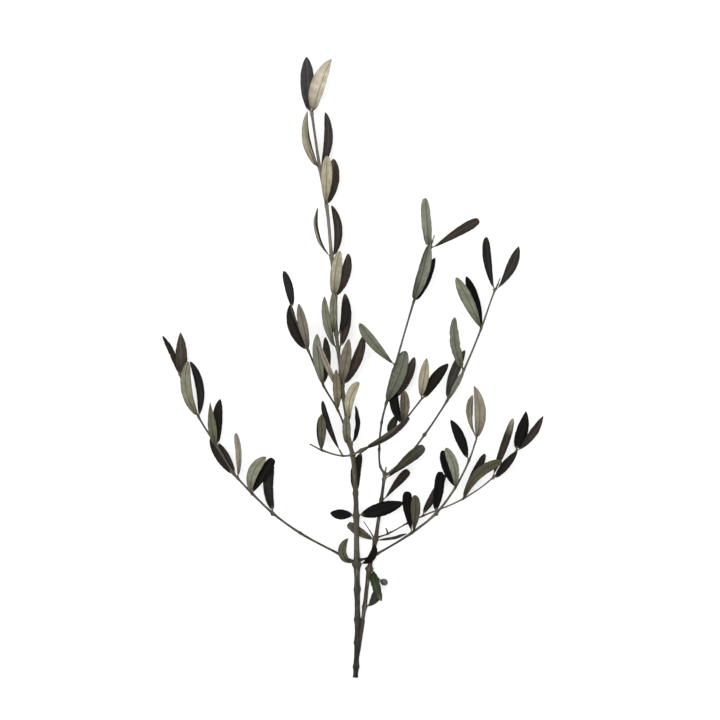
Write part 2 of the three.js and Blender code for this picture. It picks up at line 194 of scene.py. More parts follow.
def leaf_finish(name, tint, rough, shine, vein, vein_share, felt, pale_streaks_and_sheen):
    """Leaf skin. It reads each point's place: mm across, mm along, and share of the way to the margin.

    The veins are the leaf's own colour times vein.
    """
    skin = Finish(name, Specular_IOR_Level=shine)
    spot = skin.add("SeparateXYZ", _0=skin.mark("place"))
    aside = skin.maths("ABSOLUTE", spot.outputs["X"])
    real = skin.add("TexCoord").outputs["Object"]
    cloud = skin.noise(real, 160, 4)
    grain = skin.noise(real, 2600, 2)
    streaks = skin.noise(skin.stretched(skin.mark("place"), 0.75, 0.07, 0.0), 1.0, 3)
    wander = skin.maths("MULTIPLY", skin.maths("SUBTRACT", skin.noise(real, 500), 0.5), VEIN_WANDER)

    # Side veins leave the midrib at a narrow angle.
    slant = skin.maths("SUBTRACT", spot.outputs["Y"], skin.maths("MULTIPLY", aside, VEIN_SLANT))
    turn = skin.maths("FRACT", skin.maths("DIVIDE", skin.maths("ADD", slant, wander), VEIN_SPACING))
    from_vein = skin.maths("ABSOLUTE", skin.maths("SUBTRACT", turn, 0.5))
    side_vein = skin.ramp(from_vein, 0.36, 0.5)
    midrib = skin.ramp(aside, 0.2, 0.5, 1, 0)
    beside = skin.ramp(aside, 0.3, 1.6, 1, 0)
    margin = skin.ramp(spot.outputs["Z"], 0.8, 1.0)

    tone = skin.mark(tint)
    deep = skin.mixed(1.0, tone, (0.3, 0.28, 0.25), "MULTIPLY")
    light = skin.mixed(1.0, tone, (2.3, 2.2, 2.1), "MULTIPLY")
    veined = skin.mixed(1.0, tone, vein, "MULTIPLY")
    shade = skin.mixed(skin.ramp(cloud, 0.35, 0.7, 0.35, 0), tone, deep)
    shade = skin.mixed(skin.ramp(streaks, 0.48, 0.72, 0, 0.55), shade, deep)
    # Pale lengthwise streaks towards a lighter copy of the tone: partly the leaf's own paler streaks, partly
    # painted sheen on the dark upper side.
    shade = skin.mixed(skin.ramp(streaks, 0.3, 0.46, pale_streaks_and_sheen, 0), shade, light)
    felted = skin.maths("MULTIPLY", skin.ramp(grain, 0.35, 0.7), felt)
    shade = skin.mixed(felted, shade, (1, 1, 0.95), "OVERLAY")
    for mark, weight in ((beside, 0.6), (side_vein, 0.6), (midrib, 1.8)):
        shade = skin.mixed(skin.maths("MULTIPLY", mark, vein_share * weight), shade, veined)
    shade = skin.mixed(skin.maths("MULTIPLY", margin, 0.35), shade, deep)
    skin.set(skin.surface, Base_Color=shade)
    skin.set(skin.surface, Roughness=skin.ramp(cloud, 0.3, 0.7, rough - 0.07, rough + 0.09))
    relief = skin.bump(side_vein, 0.05)
    skin.set(skin.surface, Normal=skin.bump(grain, 0.05, relief))
    return skin.material


leaf_upper = leaf_finish("leaf_upper", "tint", rough=0.46, shine=0.07, vein=(1.8, 1.75, 1.65),
                         vein_share=0.4, felt=0.04, pale_streaks_and_sheen=0.5)
leaf_under = leaf_finish("leaf_under", "under_tint", rough=0.8, shine=0.15, vein=(0.3, 0.25, 0.18),
                         vein_share=0.34, felt=0.3, pale_streaks_and_sheen=0.0)


def bark_finish():
    """Bark, which reads each point's place as if its stem were straight."""
    skin = Finish("bark", Specular_IOR_Level=0.3)
    straight = skin.mark("place")
    streaks = skin.noise(skin.stretched(straight, 2.2, 0.22, 2.2), 1.0, 5)
    patches = skin.noise(skin.stretched(straight, 0.35, 0.07, 0.35), 1.0, 3)
    pores = skin.add("TexVoronoi", Vector=skin.stretched(straight, 0.62, 0.34, 0.62), Scale=1.0)
    pore = skin.ramp(pores.outputs["Distance"], 0.06, 0.17, 1, 0)
    shade = skin.mixed(skin.ramp(streaks, 0.35, 0.65, 0.45, 0), skin.mark("tint"), colour(40, 36, 30))
    weathered = colour(150, 142, 122)
    shade = skin.mixed(skin.ramp(patches, 0.5, 0.75, 0, 0.35), shade, weathered)
    shade = skin.mixed(skin.maths("MULTIPLY", pore, 0.25), shade, weathered)
    skin.set(skin.surface, Base_Color=shade)
    skin.set(skin.surface, Roughness=skin.ramp(streaks, 0.3, 0.7, 0.72, 0.9))
    relief = skin.bump(streaks, 0.25)
    skin.set(skin.surface, Normal=skin.bump(pore, 0.12, relief))
    return skin.material


def cut_wood_finish():
    """The cut face, with rings about a brown pith."""
    skin = Finish("cut_wood", Specular_IOR_Level=0.2)
    spot = skin.add("SeparateXYZ", _0=skin.mark("place"))
    squares = [skin.maths("POWER", spot.outputs[axis], 2.0) for axis in "XZ"]
    away = skin.maths("SQRT", skin.maths("ADD", *squares))
    rings = skin.maths("SINE", skin.maths("MULTIPLY", away, 9.0))
    fibres = skin.noise(skin.stretched(skin.mark("place"), 4, 1, 4), 1.0)
    shade = skin.mixed(skin.ramp(rings, -1, 1), colour(150, 128, 92), colour(186, 166, 128))
    shade = skin.mixed(skin.ramp(away, 0.35, 0.6, 0.7, 0), shade, colour(96, 76, 52))
    shade = skin.mixed(skin.ramp(fibres, 0.3, 0.7, 0.3, 0), shade, colour(92, 78, 58))
    skin.set(skin.surface, Base_Color=shade)
    skin.set(skin.surface, Roughness=skin.ramp(fibres, 0.3, 0.7, 0.8, 0.95))
    skin.set(skin.surface, Normal=skin.bump(fibres, 0.2))
    return skin.material


def olive_finish():
    """Unripe fruit skin, dotted under a cloudy bloom."""
    skin = Finish("olive_skin", Specular_IOR_Level=0.45)
    real = skin.add("TexCoord").outputs["Object"]
    bloom = skin.noise(real, 420, 4)
    dots = skin.add("TexVoronoi", Vector=real, Scale=1100.0)
    dot = skin.ramp(dots.outputs["Distance"], 0.12, 0.26, 1, 0)
    shade = skin.mixed(skin.ramp(bloom, 0.35, 0.7), colour(54, 61, 49), colour(86, 91, 77))
    shade = skin.mixed(skin.maths("MULTIPLY", dot, 0.4), shade, colour(128, 130, 110))
    skin.set(skin.surface, Base_Color=shade)
    skin.set(skin.surface, Roughness=skin.ramp(bloom, 0.3, 0.7, 0.34, 0.55))
    skin.set(skin.surface, Normal=skin.bump(dot, 0.04, skin.bump(bloom, 0.12)))
    return skin.material


bark, cut_wood, olive_skin = bark_finish(), cut_wood_finish(), olive_finish()

# The table is pale and faintly lit from below, so the branch throws next to no shadow on it.
FLOOR_TONE, FLOOR_GLOW, FLOOR_REACH = 0.42, 0.66, 4.0
floor_finish = Finish("floor", Roughness=0.9, Specular_IOR_Level=0.0, Base_Color=(*[FLOOR_TONE] * 3, 1))
floor_finish.set(floor_finish.surface, Emission_Color=(1, 1, 1, 1), Emission_Strength=FLOOR_GLOW)
floor_mesh = bpy.data.meshes.new("floor")
floor_corners = [(x * FLOOR_REACH, y * FLOOR_REACH, 0) for x, y in ((-1, -1), (1, -1), (1, 1), (-1, 1))]
floor_mesh.from_pydata(floor_corners, [], [(0, 1, 2, 3)])
floor_mesh.materials.append(floor_finish.material)
floor = bpy.data.objects.new("floor", floor_mesh)
bpy.context.scene.collection.objects.link(floor)


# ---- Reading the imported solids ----
def rings_of(name):
    """A swept solid's rings from end to end, each with its points in order round it."""
    mesh = frame["nodes"][name].data
    number, spots, merged = {}, [], []
    for vertex in mesh.vertices:
        key = tuple(round(c * 1e6) for c in vertex.co)
        if key not in number:
            number[key] = len(spots)
            spots.append(np.array(vertex.co) / MM)
        merged.append(number[key])
    near = [set() for _ in spots]
    for face in mesh.polygons:
        corners = [merged[i] for i in face.vertices]
        for a, b in zip(corners, corners[1:] + corners[:1]):
            near[a].add(b)
            near[b].add(a)
    # A pole closes each end. Only the points beside a pole have five neighbours.
    pole = next(i for i, around in enumerate(near) if all(len(near[k]) == 5 for k in around))
    layers, seen = [[pole]], {pole}
    while layers[-1]:
        onward = sorted({k for i in layers[-1] for k in near[i]} - seen)
        seen.update(onward)
        layers.append(onward)
    rings = []
    for layer in layers[1:-2]:
        ordered = layer[:1]
        while len(ordered) < len(layer):
            ordered.append(next(k for k in sorted(near[ordered[-1]]) if k in layer and k not in ordered))
        rings.append(np.array([spots[i] for i in ordered]))
    return rings


def unit(vectors):
    return vectors / np.linalg.norm(vectors, axis=-1, keepdims=True)


def distances(points):
    """How far along its row each point is."""
    return np.concatenate([[0], np.cumsum(np.linalg.norm(np.diff(points, axis=0), axis=1))])


def smooth(knots, values, at):
    """Values on a smooth curve through those at the knots."""
    gaps = np.diff(knots)
    slopes = np.diff(values, axis=0) / gaps[:, None]
    blended = slopes[:-1] * gaps[1:, None] + slopes[1:] * gaps[:-1, None]
    inner = blended / (gaps[:-1] + gaps[1:])[:, None]
    steep = np.vstack([slopes[:1], inner, slopes[-1:]])
    i = np.clip(np.searchsorted(knots, at, side="right") - 1, 0, len(gaps) - 1)
    gap = gaps[i][:, None]
    t = (np.asarray(at) - knots[i])[:, None] / gap
    ends = (2 * t**3 - 3 * t**2 + 1) * values[i] + (3 * t**2 - 2 * t**3) * values[i + 1]
    return ends + gap * ((t**3 - 2 * t**2 + t) * steep[i] + (t**3 - t**2) * steep[i + 1])


def sides_along(points):
    """Directions along a row of points, and two more square to them that turn as little as may be."""
    ahead = unit(np.gradient(points, axis=0))
    side = unit(np.cross(ahead[0], UP if abs(ahead[0][2]) < 0.9 else (1.0, 0.0, 0.0)))
    sides = []
    for direction in ahead:
        side = unit(side - direction * side.dot(direction))
        sides.append(side)
    sides = np.array(sides)
    return ahead, sides, np.cross(sides, ahead)


def lifted(rings):
    """The rings, with any that would reach below the table raised onto it."""
    below = np.minimum(rings[..., 2].min(1), 0)
    rings[..., 2] -= below[:, None]
    return rings


# ---- Making pieces ----
class Piece:
    """A piece in the making: skins of points, each face's finish, and what each point carries."""

    def __init__(self, name, *nodes):
        self.name, self.nodes = name, nodes
        self.points, self.faces, self.finish_at = [], [], []
        self.marks = {"place": [], "tint": [], "under_tint": []}

    def skin(self, rings, finish_round, ends=None, **marks):
        """Adds a closed skin through rows of rings. Each mark is given for every point."""
        rows, sides, _ = rings.shape
        first = len(self.points)
        self.points.extend(rings.reshape(-1, 3))
        self.points.extend([rings[0].mean(0), rings[-1].mean(0)])
        for name, kept in self.marks.items():
            given = np.broadcast_to(marks.get(name, np.zeros(3)), rings.shape)
            kept.extend(given.reshape(-1, 3))
            kept.extend([given[0].mean(0), given[-1].mean(0)])
        low_pole, high_pole = first + rows * sides, first + rows * sides + 1
        last = first + (rows - 1) * sides
        for side in range(sides):
            beside = (side + 1) % sides
            for start in range(first, last, sides):
                high = start + sides
                self.faces.append((start + side, start + beside, high + beside, high + side))
                self.finish_at.append(finish_round[side])
            self.faces.append((first + beside, first + side, low_pole))
            self.faces.append((last + side, last + beside, high_pole))
            self.finish_at += ends or [finish_round[side]] * 2

    def make(self, materials, slot):
        mesh = bpy.data.meshes.new(self.name)
        mesh.from_pydata((np.array(self.points) * MM).tolist(), [], self.faces)
        for material in materials:
            mesh.materials.append(material)
        mesh.polygons.foreach_set("material_index", self.finish_at)
        mesh.polygons.foreach_set("use_smooth", [True] * len(self.faces))
        for name, values in self.marks.items():
            kept = mesh.attributes.new(name, "FLOAT_VECTOR", "POINT")
            kept.data.foreach_set("vector", np.array(values, np.float32).ravel())
        tidied = bmesh.new()
        tidied.from_mesh(mesh)
        bmesh.ops.recalc_face_normals(tidied, faces=tidied.faces)
        tidied.to_mesh(mesh)
        tidied.free()
        piece = bpy.data.objects.new(self.name, mesh)
        bpy.context.scene.collection.objects.link(piece)
        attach(piece, "root")
        if self.nodes:
            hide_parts(*self.nodes)
        return piece


# ---- Stems ----
PARENTS = {
    "second_stem": "main_stem", "left_branch": "main_stem", "left_shoot": "main_stem",
    "middle_shoots": "main_stem", "right_branch": "main_stem", "thin_twig": "second_stem",
    "long_right_branch": "second_stem", "olive_stalk": "second_stem",
}
RINGS_A_NODE = 3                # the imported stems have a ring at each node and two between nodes


class Stem:
    """A stem's middle line from its foot to its end, with its radius."""

    def __init__(self, name, parent=None):
        rings = rings_of(name)
        self.name = name
        self.middle = np.array([ring.mean(0) for ring in rings])
        self.radius = np.array([np.linalg.norm(ring - ring.mean(0), axis=1).mean() for ring in rings])
        if parent:
            reach = [parent.nearest(self.middle[i])[1] for i in (0, -1)]
            turned_round = reach[0] > reach[1]
        else:
            turned_round = self.middle[0][1] > self.middle[-1][1]
        if turned_round:
            self.middle, self.radius = self.middle[::-1], self.radius[::-1]
        self.lumps = []

    def nearest(self, spot):
        """The place on the middle line that is nearest to a spot: its knot share, distance and point."""
        starts, steps = self.middle[:-1], np.diff(self.middle, axis=0)
        share = np.clip(((spot - starts) * steps).sum(1) / (steps**2).sum(1), 0, 1)
        places = starts + steps * share[:, None]
        away = np.linalg.norm(places - spot, axis=1)
        i = int(away.argmin())
        return i + share[i], away[i], places[i]

    def radius_near(self, spot):
        knot = self.nearest(spot)[0]
        return np.interp(knot, range(len(self.radius)), self.radius)


stems = {"main_stem": Stem("main_stem")}
for child, parent in PARENTS.items():
    stems[child] = Stem(child, stems[parent])


def nearest_stem(spot):
    """The stem whose surface is nearest to a spot."""
    return min(stems.values(), key=lambda stem: stem.nearest(spot)[1] - stem.radius_near(spot))


# Bark colours along each stem, from its foot to its end, with painted shade in the second stem's crotch.
TWIG_GREY = (64, 62, 53)
BARK_AND_SHADE_TONES = {
    "main_stem": [(0, (16, 16, 14)), (0.04, (26, 25, 19)), (0.09, (44, 42, 33)), (0.13, (42, 46, 35)),
                  (0.18, (52, 54, 44)), (0.24, (84, 79, 67)), (0.3, (64, 60, 50)), (0.4, (76, 70, 57)),
                  (0.5, (74, 74, 57)), (0.6, (92, 90, 75)), (0.7, (116, 113, 101)), (1, (124, 120, 112))],
    # The dark stop at 0.395 is painted shade in the crotch where the long right branch leaves the second
    # stem.
    "second_stem": [(0, (56, 52, 43)), (0.15, (58, 51, 44)), (0.36, (64, 57, 52)), (0.395, (34, 32, 25)),
                    (0.43, (66, 65, 60)), (0.6, (64, 64, 57)), (0.7, (92, 91, 86)), (0.9, (80, 79, 66)),
                    (1, (96, 95, 90))],
    "left_branch": [(0, (40, 37, 28)), (0.12, (56, 54, 48)), (0.5, (72, 69, 66)), (1, (80, 80, 68))],
    "right_branch": [(0, (30, 28, 23)), (0.2, (56, 54, 49)), (0.55, (84, 82, 74)), (1, (76, 74, 66))],
    "long_right_branch": [(0, (66, 67, 61)), (0.4, (80, 81, 73)), (1, (92, 91, 84))],
    "thin_twig": [(0, (48, 47, 42)), (0.3, (64, 61, 52)), (0.5, (92, 91, 86)), (1, (84, 82, 76))],
}
STEM_GIRTH = 1.04
STEM_SKIN = 0.2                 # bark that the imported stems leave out
STEM_SIDES = 20
STEM_STEP = 0.9
LUMP_SPREAD = 0.7               # how far round the stem a lump reaches, in radians
SECOND_STEM_FOOT = [(46, 1.4), (30, 2.1), (14, 2.3)]    # how far back the hidden foot goes, and radius
NODE_GROWTH, NODE_REACH = 0.45, 6       # how deep the middle shoots sit in the main stem's node
FLARE, FLARE_REACH = 0.45, 1.6          # how much wider a side shoot is where it leaves its parent
TIP_ROUNDING = 1.2


def along_tones(tones, share):
    spots = [spot for spot, _ in tones]
    shades = np.array([colour(*tone) for _, tone in tones])
    return np.column_stack([np.interp(share, spots, shades[:, i]) for i in range(3)])


def add_tube(piece, middle, radius, tints, chance, sides=STEM_SIDES, knobbly=0.03, lumps=(), ends=None):
    """A round stem along its middle line, with shallow ribs, bumps and leaf cushions."""
    ahead, right, above = sides_along(middle)
    along = distances(middle)
    angle = np.linspace(0, 2 * math.pi, sides, endpoint=False)
    swell = np.ones((len(along), sides))
    for ribs in (2, 3, 5, 7):
        wave = 2 * math.pi / chance.uniform(9, 34)
        start = chance.uniform(0, 6)
        drift = 1.5 * np.sin(along * wave + chance.uniform(0, 6))
        swell += knobbly / ribs**0.5 * np.sin(ribs * angle + start + drift[:, None])
    wide = radius[:, None] * swell
    for spot, height, length in lumps:
        i = np.linalg.norm(middle - spot, axis=1).argmin()
        offset = spot - middle[i]
        towards = math.atan2(offset.dot(above[i]), offset.dot(right[i]))
        turn = (angle - towards + math.pi) % (2 * math.pi) - math.pi
        near = np.exp(-((along - along[i]) / length) ** 2)
        wide += height * near[:, None] * np.exp(-(turn / LUMP_SPREAD) ** 2)
    around = np.cos(angle)[None, :, None] * right[:, None] + np.sin(angle)[None, :, None] * above[:, None]
    rings = lifted(middle[:, None] + wide[..., None] * around)
    along_each = np.broadcast_to(along[:, None], wide.shape)
    straight = np.stack([wide * np.cos(angle), along_each, wide * np.sin(angle)], -1)
    straight += chance.uniform(0, 90)
    piece.skin(rings, [0] * sides, ends, place=straight, tint=tints[:, None])


def line_of(stem):
    """A stem's middle line and radius, with its foot carried on into its parent."""
    middle, radius = stem.middle, stem.radius * STEM_GIRTH + STEM_SKIN
    if stem.name == "second_stem":
        # Its foot runs on down into the main stem at a narrow angle.
        middle, radius = middle[RINGS_A_NODE:], radius[RINGS_A_NODE:]
        back = unit(middle[0] - middle[2])
        middle = np.vstack([[middle[0] + back * reach for reach, _ in SECOND_STEM_FOOT], middle])
        radius = np.concatenate([[thin for _, thin in SECOND_STEM_FOOT], radius])
    elif stem.name == "middle_shoots":
        # The node of the main stem has grown round the shoots' feet, so they sit deeper here.
        nearest = [stems["main_stem"].nearest(spot) for spot in middle]
        away = np.array([found[1] for found in nearest])
        node_axis = np.array([found[2] for found in nearest])
        middle = middle + (node_axis - middle) * (NODE_GROWTH * np.exp(-(away / NODE_REACH) ** 2))[:, None]
    elif stem.name in PARENTS:
        _, _, axis = stems[PARENTS[stem.name]].nearest(middle[0])
        middle = np.vstack([axis, middle])
        radius = np.concatenate([radius[:1] * 1.3, radius])
    return middle, radius


def build_stem(stem):
    chance = random.Random(stem.name)
    middle, radius = line_of(stem)
    knots = distances(middle)
    at = np.linspace(0, knots[-1], max(4, int(knots[-1] / STEM_STEP) + 1))
    lines = smooth(knots, np.column_stack([middle, radius]), at)
    middle, radius = lines[:, :3], lines[:, 3]
    ends = [1, 0]               # the cut end's finish and the tip's
    if stem.name in PARENTS:
        ends = None
        parent = stems[PARENTS[stem.name]]
        if stem.name != "second_stem":
            bare = np.array([parent.nearest(spot)[1] - parent.radius_near(spot) for spot in middle])
            radius = radius * (1 + FLARE * np.exp(-(np.maximum(bare, 0) / FLARE_REACH) ** 2))
        radius = radius * np.sqrt(np.clip((at[-1] - at) / TIP_ROUNDING, 0.02, 1))
    tones = BARK_AND_SHADE_TONES.get(stem.name, [(0, TWIG_GREY), (1, TWIG_GREY)])
    tints = along_tones(tones, at / at[-1])
    piece = Piece(stem.name + "_bark", stem.name)
    add_tube(piece, middle, radius, tints, chance, lumps=stem.lumps, ends=ends)
    return piece


# ---- Leaves ----
TIP_THICKNESS = 0.6             # a packed leaf is thinner than this only at its tip
BLADE_THICKNESS = 0.5
PETIOLE_RADIUS = 0.55
BLADE_RINGS, CLASP_RINGS = 7, 3         # a packed pair is a blade, the clasp round its stem, and a blade
FULL_WIDTH_RING, FULL_WIDTH_SHARE = 3, 0.98     # where a packed blade has next to its full width
ACROSS = [0.08, 0.2, 0.36, 0.54, 0.7, 0.84, 0.94]     # rows of points between a blade's midrib and its margin
SPREAD = np.array([-1] + [-u for u in ACROSS[::-1]] + [0] + ACROSS + [1])
BLADE_ROWS, PETIOLE_ROWS = 38, 8
EVEN_ROWS = 0.45                # the rest of a blade's rows crowd towards its two ends
PETIOLE_FLARE, FLARE_LENGTH = 0.9, 1.1
GROOVE_DEPTH, GROOVE_WIDTH = 0.16, 0.45     # above the midrib
RIDGE_HEIGHT, RIDGE_WIDTH = 0.42, 0.5       # below it
ROUND_SHARE = 0.06              # a blade grows out of its round petiole over this share of its length
CUSHION_HEIGHT, CUSHION_LENGTH = 0.35, 1.5  # the swelling on the stem under each leaf
BUD_CHANCE, BUD_LENGTH, BUD_WIDTH, BUD_TONE = 0.75, 1.9, 1.1, (104, 96, 72)

# Shades of the two sides, and which of them shows on each node's leaf, or on its left and right leaf.
SHADES = {
    "black": (9, 8, 7), "char": (30, 27, 24), "soot": (43, 40, 36), "umber": (54, 48, 44),
    "ash": (74, 67, 65), "olive": (44, 46, 37), "green": (45, 58, 41), "withered": (56, 49, 42),
    "cream": (186, 180, 165), "stone": (157, 152, 132), "greige": (138, 131, 116), "sage": (121, 123, 106),
    "moss": (102, 104, 88), "tan": (116, 108, 93), "dull": (83, 80, 65),
}
SHOWN_TONES = dict(
    main_stem_leaves_1="dull black", main_stem_leaves_2="black black", main_stem_leaves_3="moss black",
    main_stem_leaf_4="stone", main_stem_leaves_5="tan umber", main_stem_leaves_6="sage umber",
    main_stem_leaves_7="moss char", main_stem_leaves_8="stone umber", main_stem_leaves_9="greige umber",
    main_stem_leaves_10="stone umber", main_stem_leaves_11="stone umber", main_stem_leaves_12="ash cream",
    second_stem_leaf_1="olive", second_stem_leaf_2="green", second_stem_leaves_3="dull olive",
    second_stem_leaf_4="char", second_stem_leaf_5="olive", second_stem_leaves_6="moss umber",
    second_stem_leaf_7="moss", second_stem_leaves_8="sage black", second_stem_leaves_9="sage soot",
    left_branch_leaf_1="char", left_branch_leaves_2="sage black", left_branch_leaf_3="greige",
    left_branch_leaves_4="char char", left_branch_leaves_5="moss char", left_branch_leaves_6="sage char",
    left_branch_leaves_7="char withered",
    left_shoot_leaves_1="tan umber", left_shoot_leaves_2="sage umber", left_shoot_leaves_3="char tan",
    left_shoot_leaf_4="char",
    middle_shoots_leaves_1="black dull", middle_shoots_leaf_2="char", middle_shoots_leaf_3="dull",
    middle_shoots_leaves_4="black tan", middle_shoots_leaves_5="stone char",
    right_branch_leaves_1="black dull", right_branch_leaf_2="black", right_branch_leaves_3="black sage",
    right_branch_leaf_4="black", right_branch_leaves_5="moss greige",
    thin_twig_leaf_1="umber", thin_twig_leaves_2="char dull", thin_twig_leaves_3="soot char",
    thin_twig_leaves_4="black umber",
    long_right_branch_leaves_1="sage umber", long_right_branch_leaf_2="moss",
    long_right_branch_leaves_3="sage black", long_right_branch_leaves_4="char soot",
    pale_edge_on_leaf="greige", dark_edge_on_leaf="char", short_olive_leaf="olive",
)
HIDDEN_UPPER, HIDDEN_UNDER = "umber", "sage"
PETIOLE_TONE = (76, 71, 55)


class Blade:
    """A blade's stations from its foot to its tip, read from a packed leaf's rings."""

    def __init__(self, rings):
        self.middle, self.upper, self.half = [], [], []
        # Each ring has six points: the top, two at one margin, the underside, and two at the other.
        for ring in rings:
            thin = int(np.argmin([np.linalg.norm(ring[i] - ring[i + 3]) for i in range(3)]))
            top, low = ring[thin], ring[(thin + 3) % 6]
            one = (ring[(thin + 1) % 6] + ring[(thin + 2) % 6]) / 2
            other = (ring[(thin + 4) % 6] + ring[(thin + 5) % 6]) / 2
            centre = (top + low) / 2
            facing = top - low
            if facing.dot(centre - (one + other) / 2) < 0:
                facing = -facing
            self.middle.append(centre)
            self.upper.append(unit(facing))
            self.half.append(np.linalg.norm(one - other) / 2 / math.sin(math.radians(60)))
        self.upper[0] = self.upper[1] = self.upper[2]
        if self.upper[-1].dot(self.upper[-2]) < 0:
            self.upper[-1] = -self.upper[-1]
        self.middle, self.upper = np.array(self.middle), np.array(self.upper)
        self.half_width = self.half[FULL_WIDTH_RING] / FULL_WIDTH_SHARE
        self.shows_under = self.upper[FULL_WIDTH_RING][2] < 0


def blades_of(name):
    """The blades of a packed leaf node, the one with the left tip first."""
    rings = rings_of(name)
    if len(rings) == BLADE_RINGS:
        first_depth = min(np.linalg.norm(rings[0][i] - rings[0][i + 3]) for i in range(3))
        return [Blade(rings[::-1] if first_depth < TIP_THICKNESS else rings)]
    pair = [Blade(rings[:BLADE_RINGS][::-1]), Blade(rings[BLADE_RINGS + CLASP_RINGS:])]
    return sorted(pair, key=lambda blade: blade.middle[-1][0])


def curl_profile(roll, crease, fold, across):
    """The points between midrib and margin: where they lie aside and up, as shares of the half
    width, and how far the upper side faces aside and up there."""
    fine = np.linspace(0, 1, 41)
    angle = roll * fine**crease
    mean_angle = (angle[1:] + angle[:-1]) / 2
    aside = np.concatenate([[0], np.cumsum(np.cos(mean_angle))])
    up = np.concatenate([[0], -np.cumsum(np.sin(mean_angle))]) + fold * fine * len(mean_angle)
    width = aside.max()
    rows = (aside / width, up / width, np.sin(angle), np.cos(angle))
    return [np.interp(across, fine, row) for row in rows]


# How some of the leaves differ from the rest, by node and side. Roll curls the two margins under,
# crease keeps the curl out by them, fold lifts both sides of the midrib, and twist turns the tip.
# Wedge and blunt taper the foot and the tip. A colour is that of one side's foot or end.
MANNERS = {
    "main_stem_leaves_1 left": dict(wedge=0.95, blunt=0.9, roll=(0.9, 1.2)),
    "main_stem_leaves_1 right": dict(wedge=1.0, blunt=0.8),
    "main_stem_leaves_2 left": dict(wedge=0.9, blunt=0.85),
    "main_stem_leaves_2 right": dict(wedge=0.75, blunt=0.75, fold=0.2),
    "main_stem_leaves_6 left": dict(roll=(1.6, 0.5), crease=1.3, ripple=0.02, fold=-0.1, blunt=0.7),
    "main_stem_leaves_8 left": dict(fold=0.4, roll=(1.0, 1.3), wedge=0.5, blunt=0.5),
    "main_stem_leaves_9 left": dict(roll=(1.95, 0.4), crease=1.15, blunt=0.75),
    "main_stem_leaves_11 left": dict(roll=(1.9, 0.6), crease=1.3, blunt=0.75),
    "main_stem_leaves_12 left": dict(blunt=0.66, wedge=0.8, twist=4),
    "main_stem_leaves_12 right": dict(blunt=0.75, wedge=0.6, fold=0.0, roll=(0.9, 0.9), twist=-6,
                                      broad=1.2, lopsided=0.35),
    "second_stem_leaf_1": dict(wedge=1.15, blunt=0.5),
    "second_stem_leaf_2": dict(wedge=0.6, ragged=0.12, upper_end=(88, 90, 68), fold=0.35, twist=20),
    "second_stem_leaves_3 left": dict(blunt=0.3, wedge=0.65, ragged=0.08, roll=(0.3, 0.4), ripple=0.02,
                                      fold=0.0, twist=0),
    "second_stem_leaf_4": dict(wedge=1.25, blunt=0.32, roll=(0.4, 0.6)),
    "second_stem_leaf_5": dict(wedge=1.15, blunt=0.4, upper_foot=(14, 13, 11), upper_end=(60, 62, 52)),
    "second_stem_leaves_6 left": dict(wedge=0.7, blunt=0.5, roll=(0.7, 1.5)),
    "second_stem_leaf_7": dict(broad=0.87, wedge=0.95, blunt=0.55),
    "second_stem_leaves_8 left": dict(roll=(0.6, 2.0), crease=0.9, wedge=0.6, blunt=0.45),
    "second_stem_leaves_9 left": dict(wedge=0.42, blunt=0.34, roll=(1.4, 1.0), fold=0.3, ragged=0.07),
    "second_stem_leaves_9 right": dict(wedge=1.05, blunt=0.36, fold=0.25),
    "left_branch_leaf_1": dict(wedge=0.5, blunt=0.34, fold=0.3),
    "left_branch_leaves_2 right": dict(wedge=0.9, blunt=0.34),
    "left_branch_leaf_3": dict(wedge=0.8, blunt=0.42),
    "left_branch_leaves_5 left": dict(wedge=0.6, blunt=1.05),
    "left_branch_leaves_6 left": dict(wedge=0.7, blunt=0.6, roll=(1.3, 0.6)),
    "left_branch_leaves_7 left": dict(broad=0.75, twist=38, ripple=0.14, ragged=0.14, roll=(1.6, 1.3),
                                      wedge=0.9),
    "left_branch_leaves_7 right": dict(ripple=0.12, ragged=0.06, roll=(1.4, 1.2), blunt=0.8, fold=0.3),
    "middle_shoots_leaf_3": dict(stalk=0.0, wedge=0.5, blunt=0.4, roll=(2.4, 0.5), crease=0.9),
    "middle_shoots_leaves_4 left": dict(blunt=0.34),
    "middle_shoots_leaves_4 right": dict(roll=(0.7, 2.1), crease=0.9, blunt=0.45),
    "right_branch_leaves_1 left": dict(wedge=1.15, blunt=0.38),
    "right_branch_leaves_1 right": dict(wedge=1.1, blunt=0.5, fold=0.45, roll=(0.9, 1.2), ripple=0.1),
    "right_branch_leaf_2": dict(wedge=0.6, blunt=0.34, fold=0.3, ripple=0.1),
    "right_branch_leaves_3 left": dict(blunt=0.42),
    "right_branch_leaves_5 left": dict(wedge=1.9, blunt=0.75, upper_foot=(24, 21, 18), ragged=0.08,
                                       twist=30),
    "right_branch_leaves_5 right": dict(wedge=0.8, blunt=0.85, roll=(1.5, 0.8)),
    "thin_twig_leaves_2 right": dict(wedge=0.8, blunt=0.5, roll=(1.2, 1.0)),
    "thin_twig_leaves_3 left": dict(upper_end=(126, 126, 110), roll=(1.5, 1.3), fold=0.35, blunt=0.5),
    "thin_twig_leaves_3 right": dict(wedge=0.8, blunt=0.75, fold=0.35),
    "thin_twig_leaves_4 left": dict(blunt=0.85, wedge=0.65, fold=0.25),
    "thin_twig_leaves_4 right": dict(wedge=1.2, blunt=0.9, fold=0.35),
    "long_right_branch_leaf_2": dict(wedge=0.55, blunt=0.55, roll=(1.3, 0.7), ripple=0.12, ragged=0.13),
    "long_right_branch_leaves_4 left": dict(fold=0.35, wedge=0.9, blunt=0.5),
    "long_right_branch_leaves_4 right": dict(wedge=1.3, blunt=0.85, fold=0.25),
    "pale_edge_on_leaf": dict(roll=(1.3, 1.3), fold=0.3, wedge=0.6),
    "dark_edge_on_leaf": dict(roll=(1.3, 1.3), fold=0.2),
}


